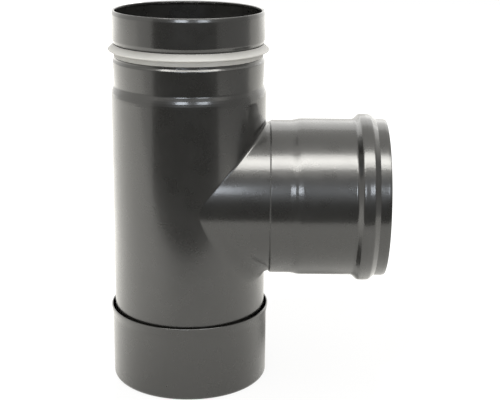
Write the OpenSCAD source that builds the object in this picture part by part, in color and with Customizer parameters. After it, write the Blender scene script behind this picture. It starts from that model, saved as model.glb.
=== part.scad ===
// Capped flue tee for a pellet stove: an upright tube with a male spigot at
// both ends, a welded side branch with a female socket, and a push-on bottom cap.
// The cap stands on the origin, +Z is up and the branch points to +X.

/* [Tube] */
// Nominal size: outer diameter of the male spigot
spigot_d = 80; // [60:1:130]
// Thickness of the steel sheet
wall = 1.2; // [0.8:0.1:1.6]
// How far the plain tube stands out from the spigot
body_out = 0.7; // [0.4:0.1:1.2]
// Plain tube between the cap's rim and the branch
lower_l = 20.4; // [10:0.1:80]
// Plain tube between the branch and the top step
upper_l = 14.9; // [5:0.1:150]

/* [Bends] */
// Radius of a tight rolled bend, to the outside of the sheet
roll_r = 2; // [1.9:0.1:2.4]
// Radius of a tight rolled bend, to the inside of the sheet
crease_r = 0.6; // [0.4:0.1:0.8]
// Radius of a shallow rolled bend
sweep_r = 12; // [6:1:16]

/* [Spigots] */
// Length of the tip that is rolled in at the rim
tip_l = 2; // [1.2:0.1:4]
// How far the tip is rolled in
tip_in = 0.6; // [0.3:0.1:1]
// Length from the rim to the groove's lead
band_l = 15.2; // [10:0.1:25]
// Length of the rolled-in lead on each side of the groove
lead_l = 2.2; // [1.8:0.1:3]
// How far a lead is rolled in where it meets the groove
lead_in = 0.8; // [0.5:0.1:1]
// Depth of the seal groove
groove_in = 2.1; // [1.8:0.1:2.4]
// Length of the groove floor
groove_l = 5.2; // [4.8:0.1:7]
// Length of each steep groove side
groove_side = 0.8; // [0.7:0.1:1.2]
// How far the waist is rolled in below the spigot
waist_in = 0.7; // [0.3:0.1:1.2]
// Length from the shoulder to the waist on the top spigot
top_waist_l = 12; // [8:0.1:20]
// Length from the shoulder to the waist on the lower spigot
low_waist_l = 3.4; // [2:0.1:4.5]
// Length of the step from the waist to the body
step_l = 6.8; // [5:0.1:7.5]

/* [Branch] */
// How far the collar is drawn in under the tube's own radius
collar_in = 0.3; // [0.2:0.1:1]
// Distance from the tube's side to the ring weld
collar_l = 2.8; // [1.5:0.1:15]
// Gap between a spigot and the neck that guides its end
neck_gap = 0.2; // [0.1:0.1:0.4]
// Length of the neck after the ring weld
neck_l = 9.9; // [4:0.1:20]
// Length of the step from the neck to the socket
flare_l = 4.1; // [3.6:0.1:8]
// Gap between a spigot and the socket round it
socket_gap = 1.1; // [0.8:0.1:1.4]
// Length of the straight socket
socket_l = 30.9; // [20:0.1:60]
// How far the bead stands out from the socket
bead_out = 2.9; // [2.4:0.1:3.6]
// Length of the bead's crest
bead_l = 5.6; // [4.5:0.1:8]
// Length of each sloping side of the bead
bead_side = 2.8; // [2.4:0.1:4]
// Radius of the hollow between the socket and the bead
bead_foot_r = 2.5; // [1:0.1:3.5]
// How far the mouth collar is wider than the socket
mouth_out = 0.2; // [0:0.1:0.6]
// Length of the mouth collar
mouth_l = 5.8; // [4:0.1:12]
// Length of the mouth's rolled-in edge
mouth_tip_l = 1.6; // [1:0.1:2.4]
// How far the mouth's edge is rolled in
mouth_tip_in = 0.3; // [0.1:0.1:0.6]

/* [Cap] */
// Height of the cap
cap_h = 41.1; // [38:0.1:60]
// Thickness of the cap's sheet
cap_wall = 1; // [0.6:0.1:1.4]
// Gap between the plain tube and the cap wall round it
cap_gap = 0.6; // [0.4:0.1:1.4]
// How far the rim is flared out
flare_out = 0.8; // [0.4:0.1:1.6]
// Length of the flare
flare_h = 4; // [3:0.1:8]
// Height of the straight band above the flare
rim_h = 1.2; // [0.8:0.1:3]
// Radius of the bottom edge
cap_edge_r = 2.2; // [2:0.1:4]
// Gap between the lower spigot's end and the cap's floor
floor_gap = 0.3; // [0.2:0.1:1]

/* [Seals] */
// How far the free lip of the top seal stands out from the spigot
lip_out = 2.2; // [1.4:0.1:2.6]
// Gap between the pressed lip of the lower seal and the cap wall
cap_lip_gap = 0.3; // [0.2:0.05:0.5]
// Height of the lip's tip over the lower edge of the groove
lip_z = 3.4; // [2.8:0.1:4]
// Height of the lip's root over the lower edge of the groove
root_z = 2.4; // [1.6:0.1:2.6]
// Thickness of the lip at its tip
lip_t = 0.6; // [0.4:0.1:0.8]
// Gap between the seal and the steel beside it
seal_gap = 0.1; // [0.05:0.05:0.2]

/* [Hidden] */
$fn = 96;
eps = 0.01;
arc_step = 15;
steel = "#2f2f2d";
silicone = "#b4b6b4";

spigot_r = spigot_d / 2;
body_r = spigot_r + body_out;
lead_r = spigot_r - lead_in;
groove_r = spigot_r - groove_in;
waist_r = spigot_r - waist_in;
groove_start = band_l + lead_l;
groove_w = 2 * groove_side + groove_l;
groove_end = groove_start + groove_w;
shoulder = groove_end + lead_l;

collar_r = body_r - collar_in;
bore_r = collar_r - wall;
seam_x = body_r + collar_l;
neck_r = spigot_r + neck_gap + wall;
neck_end = seam_x + neck_l;
socket_r = spigot_r + socket_gap + wall;
socket_start = neck_end + flare_l;
bead_r = socket_r + bead_out;
bead_start = socket_start + socket_l;
bead_end = bead_start + 2 * bead_side + bead_l;
mouth_r = socket_r + mouth_out;
mouth_x = bead_end + mouth_l;

cap_r = body_r + cap_gap + cap_wall;
low_end_z = cap_wall + floor_gap;
branch_z = cap_h + lower_l + collar_r;
total_h = branch_z + collar_r + upper_l + step_l + top_waist_l + shoulder;

// Smallest turn from one direction to another
function turn(a, b) = let (d = b - a) d > 180 ? d - 360 : d < -180 ? d + 360 : d;

// Corner p between a and b, rounded to radius r as a run of points on the arc
function bend(a, p, b, r) =
    let (u = (a - p) / norm(a - p),
         v = (b - p) / norm(b - p),
         half = acos(max(-1, min(1, u * v))) / 2,
         tangent = r / tan(half),
         mid = (u + v) / norm(u + v),
         centre = p + mid * r / sin(half),
         from = p + u * tangent - centre,
         to = p + v * tangent - centre,
         start = atan2(from.y, from.x),
         sweep = turn(start, atan2(to.y, to.x)),
         steps = max(1, ceil(abs(sweep) / arc_step)))
    [for (i = [0 : steps]) centre + r * [cos(start + sweep * i / steps),
                                         sin(start + sweep * i / steps)]];

// Path along the sheet's outer face: corners are [radius, height, bend radius]
function rolled(corners) =
    [for (k = [0 : len(corners) - 1])
        let (c = corners[k], p = [c.x, c.y])
        if (c.z == 0) p
        else each bend([corners[k - 1].x, corners[k - 1].y], p,
                       [corners[k + 1].x, corners[k + 1].y], c.z)];

// The same path moved one sheet thickness to its left-hand side
function inset(path, t) =
    [for (k = [0 : len(path) - 1])
        let (a = path[max(k - 1, 0)],
             b = path[min(k + 1, len(path) - 1)],
             d = (b - a) / norm(b - a))
        path[k] + t * [-d.y, d.x]];

function flipped(list) = [for (k = [len(list) - 1 : -1 : 0]) list[k]];

// Sheet of constant thickness spun round the axis
module rolled_sheet(corners, t) {
    path = rolled(corners);
    rotate_extrude() polygon(concat(path, flipped(inset(path, t))));
}

// Corners of a male spigot, from its end to the body, at distance from its end
function spigot(waist_l) = [
    [spigot_r - tip_in, 0, 0],
    [spigot_r, tip_l, roll_r],
    [spigot_r, band_l, roll_r],
    [lead_r, groove_start, roll_r],
    [groove_r, groove_start + groove_side, crease_r],
    [groove_r, groove_end - groove_side, crease_r],
    [lead_r, groove_end, roll_r],
    [spigot_r, shoulder, roll_r],
    [waist_r, shoulder + waist_l, sweep_r],
    [body_r, shoulder + waist_l + step_l, sweep_r]];

// Lays a shape drawn about +Z along the branch
module on_branch() {
    translate([0, 0, branch_z]) rotate([0, 90, 0]) children();
}

module main_tube() {
    low = [for (c = spigot(low_waist_l)) [c.x, low_end_z + c.y, c.z]];
    top = [for (c = spigot(top_waist_l)) [c.x, total_h - c.y, c.z]];
    color(steel) difference() {
        rolled_sheet(concat(low, flipped(top)), wall);
        on_branch() cylinder(r = bore_r, h = body_r + wall);
    }
}

module branch_collar() {
    color(steel) difference() {
        on_branch() difference() {
            cylinder(r = collar_r, h = seam_x);
            translate([0, 0, -eps]) cylinder(r = bore_r, h = seam_x + 2 * eps);
        }
        cylinder(r = body_r, h = total_h);
    }
}

module branch_socket() {
    color(steel) on_branch() rolled_sheet([
        [neck_r, seam_x, 0],
        [neck_r, neck_end, sweep_r],
        [socket_r, socket_start, sweep_r],
        [socket_r, bead_start, bead_foot_r],
        [bead_r, bead_start + bead_side, roll_r],
        [bead_r, bead_end - bead_side, roll_r],
        [mouth_r, bead_end, crease_r],
        [mouth_r, mouth_x - mouth_tip_l, roll_r],
        [mouth_r - mouth_tip_in, mouth_x, 0]], wall);
}

module seam_weld() {
    color(steel) on_branch() rotate_extrude()
        polygon([[collar_r, seam_x], [neck_r, seam_x],
                 [collar_r, seam_x - (neck_r - collar_r)]]);
}

// Seal drawn from the groove's lower edge, with the lip leaning down
module lip_seal(lip_r) {
    foot_r = groove_r + seal_gap;
    color(silicone) rotate_extrude()
        polygon([[foot_r, groove_side + seal_gap], [lead_r, seal_gap], [lead_r, root_z],
                 [lip_r, lip_z], [lip_r, lip_z + lip_t], [lead_r, groove_w - seal_gap],
                 [foot_r, groove_w - groove_side - seal_gap]]);
}

module top_seal() {
    translate([0, 0, total_h - groove_end]) lip_seal(spigot_r + lip_out);
}

module bottom_seal() {
    translate([0, 0, low_end_z + groove_start]) lip_seal(cap_r - cap_wall - cap_lip_gap);
}

module bottom_cap() {
    rim_z = cap_h - rim_h;
    color(steel) rolled_sheet([
        [0, 0, 0],
        [cap_r, 0, cap_edge_r],
        [cap_r, rim_z - flare_h, sweep_r],
        [cap_r + flare_out, rim_z, roll_r],
        [cap_r + flare_out, cap_h, 0]], cap_wall);
}

main_tube();
branch_collar();
branch_socket();
seam_weld();
top_seal();
bottom_seal();
bottom_cap();
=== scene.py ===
"""Visual model of a capped flue tee in black enamelled sheet steel.

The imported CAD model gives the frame: +Z up, the branch to +X, the cap's floor on z = 0.
All sizes in the classes below are in millimetres and become metres where a mesh is made.
"""

import sys

import logging
import math
from dataclasses import dataclass, field
from enum import Enum
from typing import NamedTuple, Sequence

import bmesh
import bpy
import numpy as np
from mathutils import Matrix, Vector


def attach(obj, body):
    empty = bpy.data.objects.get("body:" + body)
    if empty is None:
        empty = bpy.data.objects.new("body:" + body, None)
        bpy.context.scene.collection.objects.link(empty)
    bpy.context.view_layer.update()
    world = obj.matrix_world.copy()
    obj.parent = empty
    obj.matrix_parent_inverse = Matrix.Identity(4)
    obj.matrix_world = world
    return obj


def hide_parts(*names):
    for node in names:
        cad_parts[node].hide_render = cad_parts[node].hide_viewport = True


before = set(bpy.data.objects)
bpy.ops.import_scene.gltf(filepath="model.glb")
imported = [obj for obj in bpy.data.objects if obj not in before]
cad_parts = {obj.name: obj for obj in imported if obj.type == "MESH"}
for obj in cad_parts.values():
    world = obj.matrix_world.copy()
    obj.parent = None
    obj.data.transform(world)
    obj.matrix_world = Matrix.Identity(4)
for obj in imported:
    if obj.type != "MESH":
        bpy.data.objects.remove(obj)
LOG = logging.getLogger("flue_tee")
MM = 0.001


class Lie(Enum):
    """Which axis a spun piece is turned about."""

    UPRIGHT = "upright"
    BRANCH = "branch"


class Body(Enum):
    """The two CAD bodies: the welded tee with its seals, and the pull-off cap."""

    TEE = "tee"
    CAP = "cap"


class Slot(Enum):
    """Names of the material slots."""

    ENAMEL = "black_enamel"
    SILICONE = "grey_silicone"


class Corner(NamedTuple):
    """A corner of a sheet's path: radius, height along the axis and bend radius."""

    r: float
    h: float
    bend: float = 0.0


def fillet(before: Sequence[float], corner: Sequence[float], after: Sequence[float],
           radius: float, step: float = 7.5) -> list[np.ndarray]:
    """Rounds one corner of a flat path.

    Args:
        before: Point before the corner.
        corner: The sharp corner.
        after: Point after the corner.
        radius: Radius of the rounding.
        step: Largest turn between two points, in degrees.

    Returns:
        Points along the arc, from the first tangent point to the last.
    """
    a, p, b = (np.array(q[:2], float) for q in (before, corner, after))
    u = (a - p) / np.linalg.norm(a - p)
    v = (b - p) / np.linalg.norm(b - p)
    half = math.acos(max(-1.0, min(1.0, float(u @ v)))) / 2
    if radius <= 0 or half > math.radians(89.6):
        return [p]
    mid = (u + v) / np.linalg.norm(u + v)
    centre = p + mid * radius / math.sin(half)
    start = p + u * radius / math.tan(half) - centre
    end = p + v * radius / math.tan(half) - centre
    first = math.atan2(start[1], start[0])
    sweep = math.atan2(end[1], end[0]) - first
    sweep = (sweep + math.pi) % (2 * math.pi) - math.pi
    count = max(2, math.ceil(abs(math.degrees(sweep)) / step))
    angles = [first + sweep * i / count for i in range(count + 1)]
    return [centre + radius * np.array([math.cos(t), math.sin(t)]) for t in angles]


def rolled(corners: Sequence[Corner]) -> np.ndarray:
    """Turns a sheet's corners into the points of its outer face, bends rounded."""
    points: list[np.ndarray] = []
    for k, corner in enumerate(corners):
        if corner.bend == 0:
            points.append(np.array(corner[:2], float))
        else:
            points += fillet(corners[k - 1], corner, corners[k + 1], corner.bend)
    return np.array(points)


def moved_left(path: np.ndarray, distance: float) -> np.ndarray:
    """Moves an open path to its left-hand side by the sheet's thickness."""
    ahead = np.vstack([path[1:], path[-1:]])
    behind = np.vstack([path[:1], path[:-1]])
    along = ahead - behind
    along /= np.linalg.norm(along, axis=1)[:, None]
    return path + distance * np.column_stack([-along[:, 1], along[:, 0]])


def guarded(path: np.ndarray, closed: bool, guard: float = 0.15) -> np.ndarray:
    """Adds a point close to both ends of each long straight run.

    The run then keeps its own normal over nearly all of its length.

    Args:
        path: Points of the path.
        closed: Whether the last point joins the first.
        guard: Distance from the run's end, in millimetres.

    Returns:
        The path with the added points.
    """
    out: list[np.ndarray] = []
    count = len(path)
    for k in range(count):
        a = path[k]
        b = path[(k + 1) % count]
        out.append(a)
        length = float(np.linalg.norm(b - a))
        if (closed or k < count - 1) and length > 6 * guard:
            out += [a + (b - a) * guard / length, b - (b - a) * guard / length]
    return np.array(out)


def sheet_loop(corners: Sequence[Corner], wall: float, edge: float) -> np.ndarray:
    """Closed section of a bent sheet whose cut edges are a little rounded.

    Args:
        corners: Corners of the outer face, in order.
        wall: Thickness of the sheet.
        edge: Rounding of the two cut edges.

    Returns:
        Points of the closed section, outer face first.
    """
    outer = rolled(corners)
    inner = moved_left(outer, wall)[::-1]
    loop: list[np.ndarray] = []
    loop += fillet(inner[-1], outer[0], outer[1], edge, 22)
    loop += list(outer[1:-1])
    loop += fillet(outer[-2], outer[-1], inner[0], edge, 22)
    loop += fillet(outer[-1], inner[0], inner[1], edge, 22)
    loop += list(inner[1:-1])
    loop += fillet(inner[-2], inner[-1], outer[0], edge, 22)
    return guarded(np.array(loop), closed=True)


def round_loop(corners: Sequence[Corner]) -> np.ndarray:
    """Closed section of a moulded ring with each corner rounded by its own radius."""
    count = len(corners)
    loop: list[np.ndarray] = []
    for k, corner in enumerate(corners):
        loop += fillet(corners[k - 1], corner, corners[(k + 1) % count], corner.bend, 15)
    return guarded(np.array(loop), closed=True, guard=0.08)


class Nodes:
    """Small helper that adds and links the nodes of one tree."""

    def __init__(self, tree: bpy.types.NodeTree) -> None:
        """Holds the tree to be filled."""
        self.tree = tree

    def add(self, kind: str, settings: dict | None = None, **inputs: object) -> bpy.types.Node:
        """Adds a node.

        Args:
            kind: The node's type name.
            settings: Properties of the node itself.
            inputs: Values or output sockets by input name, underscores for blanks.

        Returns:
            The new node.
        """
        node = self.tree.nodes.new(kind)
        for key, value in (settings or {}).items():
            setattr(node, key, value)
        for key, value in inputs.items():
            self.feed(node, key.replace("_", " "), value)
        return node

    def feed(self, node: bpy.types.Node, name: str | int, value: object) -> None:
        """Sets one input of a node to a value, or links an output to it."""
        socket = node.inputs[name]
        if isinstance(value, bpy.types.NodeSocket):
            self.tree.links.new(value, socket)
        else:
            socket.default_value = value

    def math(self, operation: str, first: object, second: object = 0.0) -> bpy.types.NodeSocket:
        """Adds a Math node and returns its result."""
        node = self.tree.nodes.new("ShaderNodeMath")
        node.operation = operation
        self.feed(node, 0, first)
        self.feed(node, 1, second)
        return node.outputs[0]


class Maker:
    """A Geometry Nodes tree with named inputs, baked to a plain mesh for each use."""

    title = "maker"
    inputs: tuple[tuple[str, str], ...] = ()

    def __init__(self) -> None:
        """Builds the tree once, with its inputs, and ends it in a plain dressed mesh."""
        self.tree = bpy.data.node_groups.new(self.title, "GeometryNodeTree")
        face = self.tree.interface
        face.new_socket("Geometry", in_out="INPUT", socket_type="NodeSocketGeometry")
        self.names: dict[str, str] = {}
        for name, kind in self.inputs + (("Finish", "NodeSocketMaterial"),):
            socket = face.new_socket(name, in_out="INPUT", socket_type=kind)
            self.names[name] = socket.identifier
        face.new_socket("Geometry", in_out="OUTPUT", socket_type="NodeSocketGeometry")
        nodes = Nodes(self.tree)
        start = nodes.add("NodeGroupInput")
        shape = self.build(nodes, start)
        merged = nodes.add("GeometryNodeMergeByDistance", Geometry=shape, Distance=2e-6)
        smooth = nodes.add("GeometryNodeSetShadeSmooth", Geometry=merged.outputs[0])
        real = nodes.add("GeometryNodeRealizeInstances", Geometry=smooth.outputs[0])
        dressed = nodes.add("GeometryNodeSetMaterial", Geometry=real.outputs[0],
                            Material=start.outputs["Finish"])
        end = nodes.add("NodeGroupOutput")
        self.tree.links.new(dressed.outputs[0], end.inputs[0])

    def build(self, nodes: Nodes, start: bpy.types.Node) -> bpy.types.NodeSocket:
        """Adds the tree's own nodes and returns the geometry that they make."""
        raise NotImplementedError

    def make(self, name: str, guide: bpy.types.Mesh, **values: object) -> bpy.types.Mesh:
        """Runs the tree on a guide mesh.

        Args:
            name: Name of the mesh that is made.
            guide: Loose edges that the tree starts from.
            values: The tree's inputs by name, underscores for blanks.

        Returns:
            The evaluated mesh, with its faces turned outwards.
        """
        carrier = bpy.data.objects.new(name + "_guide", guide)
        bpy.context.scene.collection.objects.link(carrier)
        modifier = carrier.modifiers.new(self.title, "NODES")
        modifier.node_group = self.tree
        for key, value in values.items():
            modifier[self.names[key.replace("_", " ")]] = value
        mesh = baked(carrier, name)
        bpy.data.objects.remove(carrier)
        return mesh


class SheetSpinner(Maker):
    """Spins a section, drawn in the plane of X = radius and Y = -height, about the Z axis."""

    title = "sheet_spinner"
    inputs = (("Segments", "NodeSocketInt"), ("Pitch Radius", "NodeSocketFloat"))

    def build(self, nodes: Nodes, start: bpy.types.Node) -> bpy.types.NodeSocket:
        """Sweeps the section along a circle of the pitch radius."""
        section = nodes.add("GeometryNodeMeshToCurve", Mesh=start.outputs["Geometry"])
        circle = nodes.add("GeometryNodeCurvePrimitiveCircle",
                           Resolution=start.outputs["Segments"],
                           Radius=start.outputs["Pitch Radius"])
        swept = nodes.add("GeometryNodeCurveToMesh", Curve=circle.outputs["Curve"],
                          Profile_Curve=section.outputs["Curve"])
        return swept.outputs["Mesh"]


class WeldRunner(Maker):
    """Runs a rippled weld bead along loose edges, thicker where their swell is higher."""

    title = "weld_runner"
    inputs = (("Bead Radius", "NodeSocketFloat"), ("Ripple Pitch", "NodeSocketFloat"),
              ("Ripple Depth", "NodeSocketFloat"), ("Seed", "NodeSocketFloat"))

    def build(self, nodes: Nodes, start: bpy.types.Node) -> bpy.types.NodeSocket:
        """Resamples the path to the ripples and gives each point its own thickness."""
        value = start.outputs
        path = nodes.add("GeometryNodeMeshToCurve", Mesh=value["Geometry"])
        length = nodes.math("MULTIPLY", value["Ripple Pitch"], 0.25)
        cut = nodes.add("GeometryNodeResampleCurve", {"mode": "LENGTH"},
                        Curve=path.outputs["Curve"], Length=length)
        along = nodes.add("GeometryNodeSplineParameter")
        turns = nodes.math("DIVIDE", along.outputs["Length"], value["Ripple Pitch"])
        wave = nodes.math("SINE", nodes.math("MULTIPLY", turns, 2 * math.pi))
        place = nodes.add("GeometryNodeInputPosition")
        uneven = nodes.add("ShaderNodeTexNoise", {"noise_dimensions": "4D"}, Scale=420.0,
                           Detail=1.0, Vector=place.outputs[0], W=value["Seed"])
        noise = nodes.math("SUBTRACT", uneven.outputs[0], 0.5)
        ripple = nodes.math("MULTIPLY", nodes.math("ADD", wave, noise), value["Ripple Depth"])
        swell = nodes.add("GeometryNodeInputNamedAttribute", {"data_type": "FLOAT"}, Name="swell")
        scale = nodes.math("MULTIPLY", swell.outputs[0], nodes.math("ADD", ripple, 1.0))
        ring = nodes.add("GeometryNodeCurvePrimitiveCircle", Resolution=10,
                         Radius=value["Bead Radius"])
        swept = nodes.add("GeometryNodeCurveToMesh", Curve=cut.outputs["Curve"],
                          Profile_Curve=ring.outputs["Curve"], Scale=scale, Fill_Caps=True)
        return swept.outputs["Mesh"]


def baked(carrier: bpy.types.Object, name: str) -> bpy.types.Mesh:
    """Takes the evaluated mesh of an object, free of modifiers, faces outwards."""
    graph = bpy.context.evaluated_depsgraph_get()
    mesh = bpy.data.meshes.new_from_object(carrier.evaluated_get(graph))
    mesh.name = name
    return outwards(mesh)


def outwards(mesh: bpy.types.Mesh) -> bpy.types.Mesh:
    """Turns every face over where the closed mesh holds a negative volume."""
    shape = bmesh.new()
    shape.from_mesh(mesh)
    if shape.calc_volume(signed=True) < 0:
        bmesh.ops.reverse_faces(shape, faces=shape.faces[:])
        shape.to_mesh(mesh)
    shape.free()
    return mesh


def guide_mesh(name: str, points: np.ndarray, closed: bool,
               swell: Sequence[float] | None = None) -> bpy.types.Mesh:
    """Makes loose edges along a run of points.

    Args:
        name: Name of the mesh.
        points: Points in metres, in order.
        closed: Whether the last point joins the first.
        swell: Relative thickness at each point, if a bead follows it.

    Returns:
        The mesh of edges.
    """
    count = len(points)
    edges = [(i, (i + 1) % count) for i in range(count if closed else count - 1)]
    mesh = bpy.data.meshes.new(name)
    mesh.from_pydata([tuple(p) for p in points], edges, [])
    if swell is not None:
        mesh.attributes.new("swell", "FLOAT", "POINT").data.foreach_set("value", list(swell))
    return mesh


def spun(name: str, section: np.ndarray, finish: bpy.types.Material, spinner: SheetSpinner,
         closed: bool = True, segments: int = 224) -> bpy.types.Mesh:
    """Spins a section about the Z axis.

    Args:
        name: Name of the mesh.
        section: Points as radius and height, in millimetres.
        finish: The piece's material.
        spinner: The tree that spins it.
        closed: Whether the section is a closed loop, clear of the axis.
        segments: Number of steps round the axis.

    Returns:
        The closed mesh, in metres.
    """
    pitch = float(section[:, 0].max()) * MM
    points = np.column_stack([section[:, 0] * MM - pitch, -section[:, 1] * MM,
                              np.zeros(len(section))])
    guide = guide_mesh(name + "_section", points, closed)
    return spinner.make(name, guide, Segments=segments, Pitch_Radius=pitch, Finish=finish)


def grid_mesh(name: str, rings: np.ndarray, finish: bpy.types.Material) -> bpy.types.Mesh:
    """Skins rings of points that close both ways, such as a collar's wall.

    Args:
        name: Name of the mesh.
        rings: Array of ring, point in the ring, and coordinate, in metres.
        finish: The piece's material.

    Returns:
        The closed mesh with smooth faces.
    """
    count, size = rings.shape[:2]
    faces = []
    for i in range(count):
        for j in range(size):
            k, m = (i + 1) % count, (j + 1) % size
            faces.append((i * size + j, i * size + m, k * size + m, k * size + j))
    mesh = bpy.data.meshes.new(name)
    mesh.from_pydata([tuple(p) for p in rings.reshape(-1, 3)], [], faces)
    mesh.shade_smooth()
    mesh.materials.append(finish)
    return outwards(mesh)


def spun_normals(section: np.ndarray, points: np.ndarray) -> np.ndarray:
    """Smooth normals of a spun sheet at points that lie on it.

    Args:
        section: The closed section as radius and height, in millimetres.
        points: Points on the sheet, in metres.

    Returns:
        One unit normal for each point, pointing out of the steel.
    """
    ahead = np.roll(section, -1, axis=0)
    along = ahead - section
    size = np.linalg.norm(along, axis=1)
    side = np.column_stack([along[:, 1], -along[:, 0]]) / size[:, None]
    area = float(np.sum(section[:, 0] * ahead[:, 1] - ahead[:, 0] * section[:, 1]))
    side *= math.copysign(1.0, area)
    corner = side + np.roll(side, 1, axis=0)
    corner /= np.linalg.norm(corner, axis=1)[:, None]
    flat = np.column_stack([np.hypot(points[:, 0], points[:, 1]), points[:, 2]]) / MM
    normals = np.zeros((len(points), 3))
    for block in range(0, len(points), 4000):
        q = flat[block:block + 4000]
        offset = q[:, None, :] - section[None, :, :]
        t = np.clip((offset * along).sum(2) / (size ** 2), 0, 1)
        gap = np.linalg.norm(offset - t[:, :, None] * along, axis=2)
        best = gap.argmin(1)
        rows = np.arange(len(q))
        share = t[rows, best][:, None]
        mixed = corner[best] * (1 - share) + np.roll(corner, -1, axis=0)[best] * share
        mixed /= np.linalg.norm(mixed, axis=1)[:, None]
        turn = np.arctan2(points[block:block + 4000, 1], points[block:block + 4000, 0])
        normals[block:block + 4000, 0] = mixed[:, 0] * np.cos(turn)
        normals[block:block + 4000, 1] = mixed[:, 0] * np.sin(turn)
        normals[block:block + 4000, 2] = mixed[:, 1]
    return normals


def lay(mesh: bpy.types.Mesh, lie: Lie, height: float) -> bpy.types.Mesh:
    """Turns a mesh drawn about +Z to lie along +X at a height in millimetres, if asked."""
    if lie is Lie.BRANCH:
        mesh.transform(Matrix.Translation((0, 0, height * MM)) @ Matrix.Rotation(
            math.pi / 2, 4, "Y"))
    return mesh


def place(mesh: bpy.types.Mesh, body: Body, slot: Slot, *nodes: str) -> bpy.types.Object:
    """Puts a finished mesh into the scene and ties it to the CAD frame.

    Args:
        mesh: The mesh, in its place.
        body: The CAD body that it rides on.
        slot: The material slot; not used.
        nodes: CAD nodes that it stands for.

    Returns:
        The new object, at the origin.
    """
    piece = bpy.data.objects.new(mesh.name, mesh)
    bpy.context.scene.collection.objects.link(piece)
    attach(piece, body.value)
    if nodes:
        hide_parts(*nodes)
    LOG.info("%s: %d faces on %s", piece.name, len(mesh.polygons), body.value)
    return piece


@dataclass(frozen=True)
class EnamelFinish:
    """Baked black stove enamel over sheet steel, satin, with a fine orange peel."""

    name: str = "black_enamel_sheet"
    dark: tuple[float, float, float] = (0.0062, 0.0060, 0.0052)
    pale: tuple[float, float, float] = (0.0098, 0.0094, 0.0082)
    gloss: tuple[float, float] = (0.25, 0.33)
    coat_rough: float = 0.14
    peel: float = 0.10
    sway: float = 0.25

    def material(self) -> bpy.types.Material:
        """Makes the material: uneven colour, cloudy gloss, orange peel and a slow sway."""
        material, nodes, shader, place_ = started(self.name)
        cloud = nodes.add("ShaderNodeTexNoise", Vector=place_, Scale=38.0, Detail=4.0,
                          Roughness=0.62)
        colour = nodes.add("ShaderNodeMix", {"data_type": "RGBA"})
        nodes.feed(colour, 6, (*self.dark, 1))
        nodes.feed(colour, 7, (*self.pale, 1))
        nodes.feed(colour, 0, cloud.outputs[0])
        nodes.feed(shader, "Base Color", colour.outputs[2])
        patch = nodes.add("ShaderNodeTexNoise", Vector=place_, Scale=110.0, Detail=3.0)
        rough = nodes.add("ShaderNodeMapRange", Value=patch.outputs[0], From_Min=0.3,
                          From_Max=0.7, To_Min=self.gloss[0], To_Max=self.gloss[1])
        nodes.feed(shader, "Roughness", rough.outputs[0])
        nodes.feed(shader, "Specular IOR Level", 0.62)
        nodes.feed(shader, "Coat Weight", 1.0)
        nodes.feed(shader, "Coat Roughness", self.coat_rough)
        nodes.feed(shader, "Coat IOR", 1.48)
        peel = nodes.add("ShaderNodeTexNoise", Vector=place_, Scale=1050.0, Detail=2.0,
                         Roughness=0.45)
        slow = nodes.add("ShaderNodeTexNoise", Vector=place_, Scale=26.0, Detail=1.0)
        wide = nodes.add("ShaderNodeBump", Strength=self.sway, Distance=0.0009,
                         Height=slow.outputs[0])
        fine = nodes.add("ShaderNodeBump", Strength=self.peel, Distance=0.00022,
                         Height=peel.outputs[0], Normal=wide.outputs[0])
        nodes.feed(shader, "Normal", fine.outputs[0])
        nodes.feed(shader, "Coat Normal", fine.outputs[0])
        return material


@dataclass(frozen=True)
class SiliconeFinish:
    """Moulded grey silicone rubber, slightly cloudy, with a soft sheen."""

    name: str = "grey_silicone_rubber"
    low: tuple[float, float, float] = (0.28, 0.275, 0.262)
    high: tuple[float, float, float] = (0.36, 0.354, 0.340)
    # Painted light: this paler colour at the lip's edge stands in for light showing through the
    # thin lip.
    lip_glow: tuple[float, float, float] = (0.47, 0.464, 0.447)

    def material(self) -> bpy.types.Material:
        """Makes the material: cloudy grey, light scattered inside, fine mould grain, and a painted
        glow that pales the colour towards the lip's outer edge.
        """
        material, nodes, shader, place_ = started(self.name)
        cloud = nodes.add("ShaderNodeTexNoise", Vector=place_, Scale=90.0, Detail=4.0)
        colour = nodes.add("ShaderNodeMix", {"data_type": "RGBA"})
        nodes.feed(colour, 6, (*self.low, 1))
        nodes.feed(colour, 7, (*self.high, 1))
        nodes.feed(colour, 0, cloud.outputs[0])
        flat = nodes.add("ShaderNodeVectorMath", {"operation": "MULTIPLY"})
        nodes.feed(flat, 0, place_)
        nodes.feed(flat, 1, (1, 1, 0))
        reach = nodes.add("ShaderNodeVectorMath", {"operation": "LENGTH"})
        nodes.feed(reach, 0, flat.outputs["Vector"])
        # Painted light: from 39.7 to 42.1 mm out from the axis the colour pales towards the lip
        # glow, standing in for light through the thin lip.
        lip = nodes.add("ShaderNodeMapRange", Value=reach.outputs["Value"], From_Min=0.0397,
                        From_Max=0.0421, To_Min=0.0, To_Max=1.0)
        lip_glow_mix = nodes.add("ShaderNodeMix", {"data_type": "RGBA"})
        nodes.feed(lip_glow_mix, 6, colour.outputs[2])
        nodes.feed(lip_glow_mix, 7, (*self.lip_glow, 1))
        nodes.feed(lip_glow_mix, 0, lip.outputs[0])
        nodes.feed(shader, "Base Color", lip_glow_mix.outputs[2])
        grain = nodes.add("ShaderNodeTexNoise", Vector=place_, Scale=1600.0, Detail=2.0)
        rough = nodes.add("ShaderNodeMapRange", Value=grain.outputs[0], From_Min=0.3,
                          From_Max=0.7, To_Min=0.36, To_Max=0.5)
        nodes.feed(shader, "Roughness", rough.outputs[0])
        nodes.feed(shader, "Subsurface Weight", 0.35)
        nodes.feed(shader, "Subsurface Radius", (1.0, 1.0, 0.9))
        nodes.feed(shader, "Subsurface Scale", 0.0012)
        bump = nodes.add("ShaderNodeBump", Strength=0.12, Distance=0.0002,
                         Height=grain.outputs[0])
        nodes.feed(shader, "Normal", bump.outputs[0])
        return material


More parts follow.
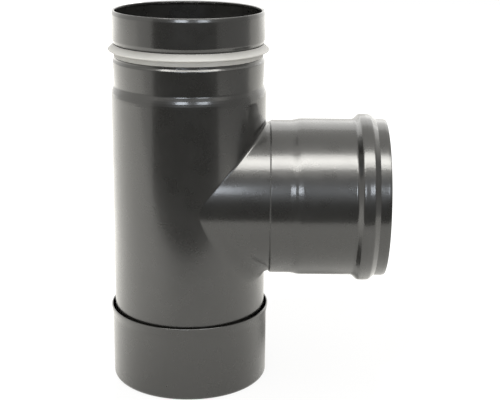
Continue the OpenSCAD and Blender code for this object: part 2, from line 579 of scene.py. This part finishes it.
def started(name: str) -> tuple[bpy.types.Material, Nodes, bpy.types.Node,
                                bpy.types.NodeSocket]:
    """Starts a material.

    Args:
        name: The material's name.

    Returns:
        The material, its node helper, its shader and the object's coordinates.
    """
    material = bpy.data.materials.new(name)
    material.use_nodes = True
    nodes = Nodes(material.node_tree)
    shader = material.node_tree.nodes["Principled BSDF"]
    where = nodes.add("ShaderNodeTexCoord")
    return material, nodes, shader, where.outputs["Object"]


@dataclass(frozen=True)
class Stock:
    """Sizes that more than one piece shares, in millimetres."""

    spigot_r: float = 40.0
    body_r: float = 41.0
    wall: float = 1.2
    collar_r: float = 40.4
    branch_z: float = 101.9
    total_h: float = 202.4
    low_end_z: float = 1.3
    groove_start: float = 17.4
    groove_w: float = 6.8
    seam_x: float = 43.5
    roll_r: float = 2.0
    crease_r: float = 0.6
    sweep_r: float = 12.0
    edge: float = 0.3

    @property
    def bore_r(self) -> float:
        """Radius of the branch's bore."""
        return self.collar_r - self.wall


@dataclass(frozen=True)
class MainTube:
    """Upright tube: a spigot with a seal groove at both ends, a step and the plain body."""

    stock: Stock
    tip_l: float = 2.0
    tip_in: float = 0.48
    edge_in: float = 0.1
    edge_l: float = 0.7
    band_l: float = 15.2
    lead_in: float = 0.8
    lead_l: float = 2.2
    ledge_l: float = 1.0
    shoulder_l: float = 1.1
    shoulder_r: float = 1.0
    groove_in: float = 2.1
    groove_side: float = 0.8
    waist_in: float = 0.55
    top_waist_l: float = 12.8
    top_step_l: float = 3.2
    top_crease_r: float = 2.5
    low_waist_l: float = 3.4
    low_step_l: float = 6.8

    def spigot(self, waist_l: float, step_l: float, waist_bend: float) -> list[Corner]:
        """Corners of a spigot from its end to the body.

        Args:
            waist_l: Length from the shoulder to the waist.
            step_l: Length of the step from the waist to the body.
            waist_bend: Bend radius at the waist.

        Returns:
            The corners, at distance from the spigot's end.
        """
        s = self.stock
        start = s.groove_start
        end = start + s.groove_w
        foot = end + self.ledge_l
        shoulder = foot + self.shoulder_l
        waist = end + self.lead_l + waist_l
        lead = s.spigot_r - self.lead_in
        floor = s.spigot_r - self.groove_in
        return [Corner(s.spigot_r - self.tip_in - self.edge_in, 0),
                Corner(s.spigot_r - self.tip_in * 0.65, self.edge_l, 0.8),
                Corner(s.spigot_r, self.tip_l, 2.4),
                Corner(s.spigot_r, self.band_l, s.roll_r),
                Corner(lead, start, s.roll_r),
                Corner(floor, start + self.groove_side, s.crease_r),
                Corner(floor, end - self.groove_side, s.crease_r),
                Corner(lead, end, s.crease_r),
                Corner(lead, foot, s.crease_r),
                Corner(s.spigot_r, shoulder, self.shoulder_r),
                Corner(s.spigot_r - self.waist_in, waist, waist_bend),
                Corner(s.body_r, waist + step_l, s.sweep_r)]

    def section(self) -> np.ndarray:
        """Closed section of the whole tube's sheet."""
        s = self.stock
        below = self.spigot(self.low_waist_l, self.low_step_l, s.sweep_r)
        above = self.spigot(self.top_waist_l, self.top_step_l, self.top_crease_r)
        low = [Corner(c.r, s.low_end_z + c.h, c.bend) for c in below]
        top = [Corner(c.r, s.total_h - c.h, c.bend) for c in above]
        return sheet_loop(low + top[::-1], s.wall, s.edge)

    def build(self, finish: bpy.types.Material, spinner: SheetSpinner) -> bpy.types.Object:
        """Spins the tube, cuts the branch's hole and keeps the sheet's smooth normals."""
        s = self.stock
        section = self.section()
        mesh = spun("tube_sheet", section, finish, spinner)
        cutter = bpy.data.objects.new("branch_hole", self.hole())
        carrier = bpy.data.objects.new("tube_blank", mesh)
        for item in (cutter, carrier):
            bpy.context.scene.collection.objects.link(item)
        cut = carrier.modifiers.new("branch_hole", "BOOLEAN")
        cut.operation = "DIFFERENCE"
        cut.solver = "EXACT"
        cut.object = cutter
        opened = baked(carrier, "tube_sheet")
        for item in (cutter, carrier):
            bpy.data.objects.remove(item)
        self.smooth(opened, section)
        return place(opened, Body.TEE, Slot.ENAMEL, "main_tube")

    def hole(self) -> bpy.types.Mesh:
        """Rod along the branch that cuts the hole in the tube's side."""
        s = self.stock
        shape = bmesh.new()
        bmesh.ops.create_cone(shape, cap_ends=True, segments=224, radius1=s.bore_r * MM,
                              radius2=s.bore_r * MM, depth=60 * MM)
        mesh = bpy.data.meshes.new("branch_hole")
        shape.to_mesh(mesh)
        shape.free()
        mesh.transform(Matrix.Translation((30 * MM, 0, s.branch_z * MM)) @ Matrix.Rotation(
            math.pi / 2, 4, "Y"))
        return mesh

    def smooth(self, mesh: bpy.types.Mesh, section: np.ndarray) -> None:
        """Gives the cut tube the normals that its sheet had before the hole."""
        s = self.stock
        points = np.array([v.co for v in mesh.vertices])
        normals = spun_normals(section, points)
        reach = np.hypot(points[:, 1], points[:, 2] - s.branch_z * MM)
        on_hole = (np.abs(reach - s.bore_r * MM) < 3e-5) & (points[:, 0] > 0)
        mesh.shade_smooth()
        split = []
        for face in mesh.polygons:
            wall = all(on_hole[i] for i in face.vertices)
            for i in face.vertices:
                split.append(tuple(face.normal) if wall else tuple(normals[i]))
        mesh.normals_split_custom_set(split)


@dataclass(frozen=True)
class Branch:
    """Side branch: a saddled collar, the ring weld, and the socket with its bead."""

    stock: Stock
    neck_r: float = 41.4
    neck_end: float = 55.0
    socket_r: float = 42.3
    socket_start: float = 59.0
    bead_r: float = 45.2
    bead_start: float = 88.0
    bead_side: float = 2.8
    bead_foot_r: float = 2.5
    bead_dome: float = 0.3
    dome_r: float = 18.0
    bead_end: float = 99.6
    mouth_r: float = 42.5
    mouth_x: float = 105.4
    mouth_tip_l: float = 1.6
    mouth_tip_in: float = 0.3
    seam_edge: float = 0.3
    throat_top: float = 1.7
    throat_low: float = 14.0
    throat_steps: int = 12
    steps: int = 224

    def collar(self, finish: bpy.types.Material) -> bpy.types.Object:
        """Skins the collar from its saddle in the tube's wall to the ring weld."""
        s = self.stock
        e = self.seam_edge
        rings = []
        for k in range(self.steps):
            turn = 2 * math.pi * k / self.steps
            out_x = math.sqrt(s.body_r ** 2 - (s.collar_r * math.sin(turn)) ** 2)
            in_x = math.sqrt(s.body_r ** 2 - (s.bore_r * math.sin(turn)) ** 2)
            run = [(out_x - 0.5, s.collar_r), (out_x - 0.35, s.collar_r),
                   (s.seam_x - e - 0.15, s.collar_r)]
            run += [tuple(p)[::-1] for p in fillet(
                (s.collar_r, s.seam_x - 3), (s.collar_r, s.seam_x), (s.bore_r, s.seam_x), e, 15)]
            run += [tuple(p)[::-1] for p in fillet(
                (s.collar_r, s.seam_x), (s.bore_r, s.seam_x), (s.bore_r, s.seam_x - 3), 0.15, 45)]
            run += [(s.seam_x - 0.5, s.bore_r), (in_x - 0.15, s.bore_r),
                    (in_x - 0.3, s.bore_r + 0.04)]
            rings.append([(x * MM, r * math.sin(turn) * MM, (s.branch_z + r * math.cos(turn)) * MM)
                          for x, r in run])
        mesh = grid_mesh("collar_sheet", np.array(rings), finish)
        return place(mesh, Body.TEE, Slot.ENAMEL, "branch_collar")

    def socket(self, finish: bpy.types.Material, spinner: SheetSpinner) -> bpy.types.Object:
        """Spins the socket with its neck, flare, bead and rolled-in mouth."""
        s = self.stock
        crest = self.bead_r - self.bead_dome
        section = sheet_loop([
            Corner(self.neck_r, s.seam_x),
            Corner(self.neck_r, self.neck_end, s.sweep_r),
            Corner(self.socket_r, self.socket_start, s.sweep_r),
            Corner(self.socket_r, self.bead_start, self.bead_foot_r),
            Corner(crest, self.bead_start + self.bead_side, s.roll_r),
            Corner(self.bead_r, (self.bead_start + self.bead_end) / 2, self.dome_r),
            Corner(crest, self.bead_end - self.bead_side, s.roll_r),
            Corner(self.mouth_r, self.bead_end, s.crease_r),
            Corner(self.mouth_r, self.mouth_x - self.mouth_tip_l, s.roll_r),
            Corner(self.mouth_r - self.mouth_tip_in, self.mouth_x)], s.wall, 0.4)
        mesh = lay(spun("socket_sheet", section, finish, spinner), Lie.BRANCH, s.branch_z)
        return place(mesh, Body.TEE, Slot.ENAMEL, "branch_socket")

    def ring_weld(self, finish: bpy.types.Material, runner: WeldRunner) -> bpy.types.Object:
        """Runs the small bead that lies in the groove between collar and socket."""
        s = self.stock
        r = s.collar_r - 0.12
        turns = [2 * math.pi * k / 360 for k in range(360)]
        path = np.array([((s.seam_x - 0.05) * MM, r * math.sin(t) * MM,
                          (s.branch_z + r * math.cos(t)) * MM) for t in turns])
        mesh = runner.make("ring_weld_bead", guide_mesh("ring_path", path, True, [1.0] * 360),
                           Bead_Radius=0.42 * MM, Ripple_Pitch=1.3 * MM, Ripple_Depth=0.16,
                           Seed=3.0, Finish=finish)
        return place(mesh, Body.TEE, Slot.ENAMEL, "seam_weld")

    def throat_radius(self, turn: float) -> float:
        """Blend radius at a turn round the branch: tight above, wide at and under the sides.

        Args:
            turn: Angle round the branch from its top, in radians.

        Returns:
            The radius in millimetres, small enough to end before the ring weld.
        """
        s = self.stock
        low = min(1.0, max(0.0, (0.08 - math.cos(turn)) / 0.45))
        wish = self.throat_top + (self.throat_low - self.throat_top) * low * low * (3 - 2 * low)
        first, last = 0.0, 60.0
        for _ in range(40):
            r = (first + last) / 2
            reach = (s.body_r + r) ** 2 - ((s.collar_r + r) * math.sin(turn)) ** 2
            if reach > (s.seam_x - self.seam_edge - 0.15) ** 2:
                last = r
            else:
                first = r
        return (wish ** -6 + first ** -6) ** (-1 / 6)

    def throat(self, finish: bpy.types.Material) -> bpy.types.Object:
        """Skins the drawn-out blend where the collar leaves the tube."""
        s = self.stock
        rings = []
        normals = []
        for k in range(self.steps * 2):
            turn = math.pi * k / self.steps
            ball = self.throat_radius(turn)
            y = (s.collar_r + ball) * math.sin(turn)
            centre = np.array([math.sqrt((s.body_r + ball) ** 2 - y * y), y,
                               (s.collar_r + ball) * math.cos(turn)])
            first = -np.array([centre[0], y, 0]) / (s.body_r + ball)
            last = -np.array([0, y, centre[2]]) / (s.collar_r + ball)
            angle = math.acos(max(-1.0, min(1.0, float(first @ last))))
            ring = []
            for j in range(self.throat_steps + 1):
                t = j / self.throat_steps
                ray = (first * math.sin((1 - t) * angle) + last * math.sin(t * angle))
                ray /= math.sin(angle)
                ring.append(centre + ray * ball)
                normals.append(-ray)
            under = centre + (first + last) / (2 * math.cos(angle / 2) ** 2) * ball
            under += (first + last) / np.linalg.norm(first + last) * 0.25
            ring.append(under)
            normals.append((first + last) / np.linalg.norm(first + last))
            rings.append([(p + (0, 0, s.branch_z)) * MM for p in ring])
        mesh = grid_mesh("throat_blend", np.array(rings), finish)
        mesh.normals_split_custom_set_from_vertices([tuple(n) for n in normals])
        return place(mesh, Body.TEE, Slot.ENAMEL)


@dataclass(frozen=True)
class Seals:
    """The two silicone lip seals, each in a spigot's groove."""

    stock: Stock
    groove_r: float = 37.9
    lead_r: float = 39.2
    groove_side: float = 0.8
    gap: float = 0.1
    lip_z: float = 3.4
    lip_t: float = 0.6
    root_z: float = 2.4
    top_lip_r: float = 42.2
    low_lip_r: float = 41.0

    def section(self, lip_r: float, lift: float) -> np.ndarray:
        """Section of a seal whose groove starts at the height lift, lip leaning down."""
        w = self.stock.groove_w
        foot = self.groove_r + self.gap
        corners = [Corner(foot, self.groove_side + self.gap, 0.1),
                   Corner(self.lead_r, self.gap, 0.15),
                   Corner(self.lead_r, self.root_z, 0.5),
                   Corner(lip_r, self.lip_z, 0.22),
                   Corner(lip_r, self.lip_z + self.lip_t, 0.22),
                   Corner(self.lead_r, w - self.gap, 0.25),
                   Corner(foot, w - self.groove_side - self.gap, 0.1)]
        return round_loop([Corner(c.r, c.h + lift, c.bend) for c in corners])

    def build(self, finish: bpy.types.Material, spinner: SheetSpinner) -> None:
        """Spins both seals."""
        s = self.stock
        top = self.section(self.top_lip_r, s.total_h - s.groove_start - s.groove_w)
        low = self.section(self.low_lip_r, s.low_end_z + s.groove_start)
        place(spun("top_lip_seal", top, finish, spinner), Body.TEE, Slot.SILICONE, "top_seal")
        place(spun("low_lip_seal", low, finish, spinner), Body.TEE, Slot.SILICONE,
              "bottom_seal")


@dataclass(frozen=True)
class BottomCap:
    """Pressed cap that pushes over the lower spigot, with a flared rim."""

    stock: Stock
    cap_r: float = 42.3
    cap_h: float = 41.1
    wall: float = 1.0
    rim_h: float = 1.2
    flare_h: float = 4.0
    flare_out: float = 0.8
    edge_r: float = 2.2
    rim_thin: float = 0.25

    def build(self, finish: bpy.types.Material, spinner: SheetSpinner) -> bpy.types.Object:
        """Spins the cap from its floor's centre out to the rim and back inside."""
        s = self.stock
        rim_z = self.cap_h - self.rim_h
        outer = rolled([Corner(0, 0), Corner(self.cap_r, 0, self.edge_r),
                        Corner(self.cap_r, rim_z - self.flare_h, s.sweep_r),
                        Corner(self.cap_r + self.flare_out, rim_z, s.roll_r),
                        Corner(self.cap_r + self.flare_out, self.cap_h)])
        inner = moved_left(outer, self.wall)[::-1]
        rise = np.clip((inner[:, 1] - rim_z + 2.5) / 2.5, 0, 1)
        inner[:, 0] += self.rim_thin * rise
        rim = fillet(outer[-2], outer[-1], inner[0], 0.3, 22)
        rim += fillet(outer[-1], inner[0], inner[1], 0.3, 22)
        path = guarded(np.array([*outer[:-1], *rim, *inner[1:]]), closed=False)
        mesh = spun("cap_sheet", path, finish, spinner, closed=False)
        return place(mesh, Body.CAP, Slot.ENAMEL, "bottom_cap")


@dataclass(frozen=True)
class Lamp:
    """A flat studio lamp aimed at the object, given by where it is seen from there."""

    name: str
    azimuth: float
    elevation: float
    distance: float
    size: tuple[float, float]
    radiance: float
    tint: tuple[float, float, float] = (1.0, 1.0, 1.0)
    diffuse: bool = True
    glossy: bool = True

    def build(self) -> None:
        """Makes the lamp; its power follows from its radiance and area."""
        centre = Vector((0.02, 0, 0.1))
        a = math.radians(self.azimuth)
        e = math.radians(self.elevation)
        away = Vector((math.sin(a) * math.cos(e), -math.cos(a) * math.cos(e), math.sin(e)))
        light = bpy.data.lights.new(self.name, "AREA")
        light.shape = "RECTANGLE"
        light.size, light.size_y = self.size
        light.energy = self.radiance * math.pi * self.size[0] * self.size[1]
        light.color = self.tint
        lamp = bpy.data.objects.new(self.name, light)
        lamp.location = centre + away * self.distance
        lamp.rotation_euler = away.to_track_quat("Z", "Y").to_euler()
        lamp.visible_camera = False
        lamp.visible_diffuse = self.diffuse
        lamp.visible_glossy = self.glossy
        bpy.context.scene.collection.objects.link(lamp)


@dataclass(frozen=True)
class Studio:
    """White floor and surroundings, dark flags in front, lamps and the camera."""

    eye: tuple[float, float, float] = (0.03285, -0.60374, 0.27470)
    yaw: float = 0.581
    pitch: float = 15.801
    roll: float = 0.709
    lens: float = 83.21
    shift: tuple[float, float] = (-0.02248, -0.01556)
    fill: float = 1.14
    warm: tuple[float, float, float] = (1.0, 0.985, 0.94)
    lamps: tuple[Lamp, ...] = field(default=(
        Lamp("overhead_key", 10, 66, 1.0, (1.2, 0.9), 0.4, glossy=False),
        Lamp("overhead_strip", 4, 65.5, 0.9, (1.1, 0.35), 7.7, (1.0, 0.985, 0.94),
             diffuse=False),
        Lamp("strip_core", 4, 66, 0.9, (1.1, 0.14), 3.6, (1.0, 0.985, 0.94), diffuse=False),
        Lamp("lamp_left", -9, 23, 0.85, (0.22, 0.15), 10.5, (0.86, 0.92, 1.0)),
        Lamp("lamp_right", 22.5, 23, 0.85, (0.22, 0.15), 8.0, (0.86, 0.92, 1.0)),
        Lamp("back_left", -148, 12, 1.1, (1.1, 0.6), 0.26, diffuse=False),
        Lamp("back_right", 150, 12, 1.1, (0.8, 0.6), 0.4, diffuse=False),
        Lamp("back_wall", 180, 34, 1.1, (1.6, 0.7), 0.75, diffuse=False)))

    def build(self) -> None:
        """Makes the whole studio."""
        bpy.context.scene.view_settings.view_transform = "Standard"
        self.surround()
        self.floor()
        self.flags()
        for lamp in self.lamps:
            lamp.build()
        self.camera()

    def seen(self, nodes: Nodes) -> bpy.types.NodeSocket:
        """One for rays that see the background: camera, glossy and transmission rays."""
        path = nodes.add("ShaderNodeLightPath").outputs
        glossy = nodes.math("MAXIMUM", path["Is Camera Ray"], path["Is Glossy Ray"])
        return nodes.math("MAXIMUM", glossy, path["Is Transmission Ray"])

    def tinted(self, nodes: Nodes) -> bpy.types.NodeSocket:
        """Pure white for the camera and a slightly warm white for every other ray."""
        mix = nodes.add("ShaderNodeMix", {"data_type": "RGBA"})
        nodes.feed(mix, 0, nodes.add("ShaderNodeLightPath").outputs["Is Camera Ray"])
        nodes.feed(mix, 6, (*self.warm, 1))
        nodes.feed(mix, 7, (1, 1, 1, 1))
        return mix.outputs[2]

    def surround(self) -> None:
        """White world for what sees it, and a plain fill for diffuse light."""
        world = bpy.data.worlds.new("studio_white")
        world.use_nodes = True
        bpy.context.scene.world = world
        nodes = Nodes(world.node_tree)
        back = world.node_tree.nodes["Background"]
        strength = nodes.add("ShaderNodeMapRange", Value=self.seen(nodes), To_Min=self.fill,
                             To_Max=1.0)
        nodes.feed(back, "Color", self.tinted(nodes))
        nodes.feed(back, "Strength", strength.outputs[0])

    def floor(self) -> None:
        """White table that ends a little in front of the object; for reflections it glows with
        painted light to the left and away from the object, and carries a painted shadow under the
        branch.
        """
        material = bpy.data.materials.new("white_table")
        material.use_nodes = True
        nodes = Nodes(material.node_tree)
        shader = material.node_tree.nodes["Principled BSDF"]
        nodes.feed(shader, "Base Color", (0.95, 0.94, 0.91, 1))
        nodes.feed(shader, "Roughness", 0.8)
        nodes.feed(shader, "Specular IOR Level", 0.1)
        rays = nodes.add("ShaderNodeLightPath").outputs
        where = nodes.add("ShaderNodeTexCoord")
        away = nodes.add("ShaderNodeVectorMath", {"operation": "LENGTH"})
        nodes.feed(away, 0, where.outputs["Object"])
        axes = nodes.add("ShaderNodeSeparateXYZ", Vector=where.outputs["Object"])
        # Painted light: for reflections the floor glows up to 1.9 times brighter towards the left.
        left = nodes.add("ShaderNodeMapRange", Value=axes.outputs[0], From_Min=-0.15,
                         From_Max=-0.03, To_Min=1.9, To_Max=1.0)
        # Painted shadow: reflections see a dark patch on the floor round (75, 55) mm, under the
        # branch, on top of the floor's own shadow.
        under = nodes.add("ShaderNodeVectorMath", {"operation": "DISTANCE"})
        nodes.feed(under, 0, where.outputs["Object"])
        nodes.feed(under, 1, (0.075, 0.055, 0))
        painted_shadow = nodes.add("ShaderNodeMapRange", Value=under.outputs["Value"], From_Min=0.015,
                          From_Max=0.06, To_Min=0.2, To_Max=1.0)
        # Painted light and painted shadow together: the left glow times the shadow patch.
        side = nodes.math("MULTIPLY", left.outputs[0], painted_shadow.outputs[0])
        # Painted light and shade: for reflections the floor glows dimmer near the object (0.95)
        # and brighter further away (1.3).
        glow_by_distance = nodes.add("ShaderNodeMapRange", Value=away.outputs["Value"], From_Min=0.08,
                         From_Max=0.25, To_Min=0.95, To_Max=1.3)
        level = nodes.math("MAXIMUM", nodes.math("MULTIPLY", side, glow_by_distance.outputs[0]),
                           rays["Is Camera Ray"])
        glow = nodes.add("ShaderNodeEmission", Color=self.tinted(nodes), Strength=level)
        plain = nodes.add("ShaderNodeMapRange", Value=away.outputs["Value"], From_Min=0.1,
                          From_Max=0.4, To_Min=0.9, To_Max=1.0)
        # Inside the painted shadow, reflections see more of the dim glow and less of the lit
        # floor.
        painted_shadow_share = nodes.add("ShaderNodeMapRange", Value=painted_shadow.outputs[0], From_Min=0.2,
                        To_Min=0.8, To_Max=0.35)
        share = nodes.math("MAXIMUM",
                           nodes.math("MULTIPLY", rays["Is Camera Ray"], plain.outputs[0]),
                           nodes.math("MULTIPLY", self.seen(nodes), painted_shadow_share.outputs[0]))
        mix = nodes.add("ShaderNodeMixShader")
        nodes.feed(mix, 0, share)
        nodes.feed(mix, 1, shader.outputs[0])
        nodes.feed(mix, 2, glow.outputs[0])
        end = material.node_tree.nodes["Material Output"]
        nodes.feed(end, "Surface", mix.outputs[0])
        corners = [(-1.6, -0.27, 0), (1.6, -0.27, 0), (1.6, 1.8, 0), (-1.6, 1.8, 0)]
        card("white_table", [corners], material)

    def flags(self) -> None:
        """Dark and grey screens round the set, seen only by reflections."""
        near, far = -0.272, -0.9
        left, right = far * 1.21, -far * 1.03
        floor = [(near * 1.21, near, -0.001), (-near * 1.03, near, -0.001),
                 (right, far, -0.001), (left, far, -0.001)]
        self.flag("dark_flag", 0.15, [floor, upright((left, far), (right, far), 0, 0.225)])
        self.flag("grey_flag", 0.35, [upright((left, far), (right, far), 0.225, 0.56)])
        self.flag("upper_flag", 0.46, [upright((left, far), (right, far), 0.56, 0.95)])
        self.flag("right_flag", 0.48, [upright((0.52, -0.5), (0.5, 0.11), 0, 0.45)])

    def flag(self, name: str, tone: float, faces: Sequence) -> None:
        """Makes one screen of an even tone that only reflections see."""
        material = bpy.data.materials.new(name)
        material.use_nodes = True
        nodes = Nodes(material.node_tree)
        glow = nodes.add("ShaderNodeEmission", Color=(tone, tone * 0.99, tone * 0.96, 1),
                         Strength=1.0)
        nodes.feed(material.node_tree.nodes["Material Output"], "Surface", glow.outputs[0])
        thing = card(name, faces, material)
        thing.visible_camera = False
        thing.visible_diffuse = False
        thing.visible_shadow = False

    def camera(self) -> None:
        """Camera at the photograph's place and turn."""
        y, p, r = (math.radians(v) for v in (self.yaw, self.pitch, self.roll))
        ahead = Vector((math.sin(y) * math.cos(p), math.cos(y) * math.cos(p), -math.sin(p)))
        right = Vector((math.cos(y), -math.sin(y), 0))
        up = right.cross(ahead)
        right2 = right * math.cos(r) + up * math.sin(r)
        up2 = up * math.cos(r) - right * math.sin(r)
        data = bpy.data.cameras.new("photo_camera")
        data.lens = self.lens
        data.sensor_width = 36.0
        data.sensor_fit = "HORIZONTAL"
        data.shift_x, data.shift_y = self.shift
        data.clip_start = 0.01
        camera = bpy.data.objects.new("photo_camera", data)
        turn = Matrix((right2, up2, -ahead)).transposed().to_4x4()
        camera.matrix_world = Matrix.Translation(self.eye) @ turn
        bpy.context.scene.collection.objects.link(camera)
        bpy.context.scene.camera = camera


def upright(start: tuple[float, float], end: tuple[float, float], low: float,
            high: float) -> list[tuple[float, float, float]]:
    """Corners of an upright card between two places on the floor and two heights."""
    return [(*start, low), (*end, low), (*end, high), (*start, high)]


def card(name: str, faces: Sequence[Sequence[tuple[float, float, float]]],
         material: bpy.types.Material) -> bpy.types.Object:
    """Makes flat studio cards, which aren't part of the object.

    Args:
        name: Name of the object.
        faces: Corners of each card, in metres.
        material: The cards' material.

    Returns:
        The stage object.
    """
    points = [p for corners in faces for p in corners]
    index = [tuple(range(4 * k, 4 * k + 4)) for k in range(len(faces))]
    mesh = bpy.data.meshes.new(name)
    mesh.from_pydata(points, [], index)
    mesh.materials.append(material)
    thing = bpy.data.objects.new(name, mesh)
    bpy.context.scene.collection.objects.link(thing)
    return thing


def main() -> None:
    """Builds the studio and every piece of the tee, in order."""
    logging.basicConfig(level=logging.INFO, format="%(name)s %(message)s", stream=sys.stdout)
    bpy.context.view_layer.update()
    Studio().build()
    stock = Stock()
    spinner = SheetSpinner()
    runner = WeldRunner()
    enamel = EnamelFinish().material()
    weld = EnamelFinish(name="black_enamel_weld", gloss=(0.3, 0.45), peel=0.2).material()
    silicone = SiliconeFinish().material()
    MainTube(stock).build(enamel, spinner)
    branch = Branch(stock)
    branch.collar(enamel)
    branch.socket(enamel, spinner)
    branch.ring_weld(weld, runner)
    branch.throat(enamel)
    Seals(stock).build(silicone, spinner)
    BottomCap(stock).build(enamel, spinner)


if __name__ == "__main__":
    main()
